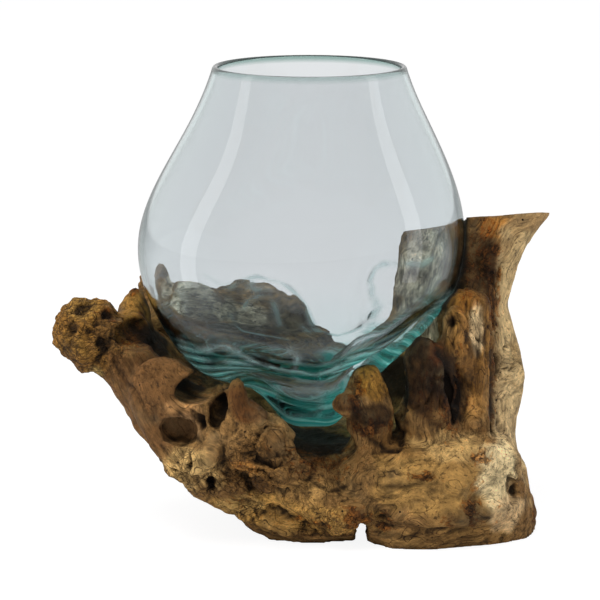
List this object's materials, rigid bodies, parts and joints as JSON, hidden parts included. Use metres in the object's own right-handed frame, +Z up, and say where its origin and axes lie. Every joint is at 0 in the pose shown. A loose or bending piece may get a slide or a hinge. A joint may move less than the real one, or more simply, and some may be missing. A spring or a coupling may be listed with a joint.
{
  "type": "glass vase on root",
  "caption": "Hand-blown clear glass vase whose slumped foot sits in a gnarled, flat-sawn tree root; the vase lifts straight out.",
  "frame": {"origin": "on the table under the middle of the whole piece's outline box", "axes": "+Z up; +X from the knobbed arm towards the sawn trunk; +Y away from the side that is seen first"},
  "size_m": [0.2978, 0.1952, 0.2801],
  "materials": {
    "root_wood": "raw weathered root wood, brushed clean, dark in its hollows",
    "blown_glass": "clear recycled glass, faintly teal, deeper where it is thick"
  },
  "bodies": {
    "root": {"root_base": "root_wood"},
    "vase": {"glass_vase": "blown_glass"}
  },
  "joints": [
    {"name": "vase_lift", "type": "slide", "parent": "root", "child": "vase", "axis": [0, 0, 1], "range_m": [0, 0.15]}
  ]
}
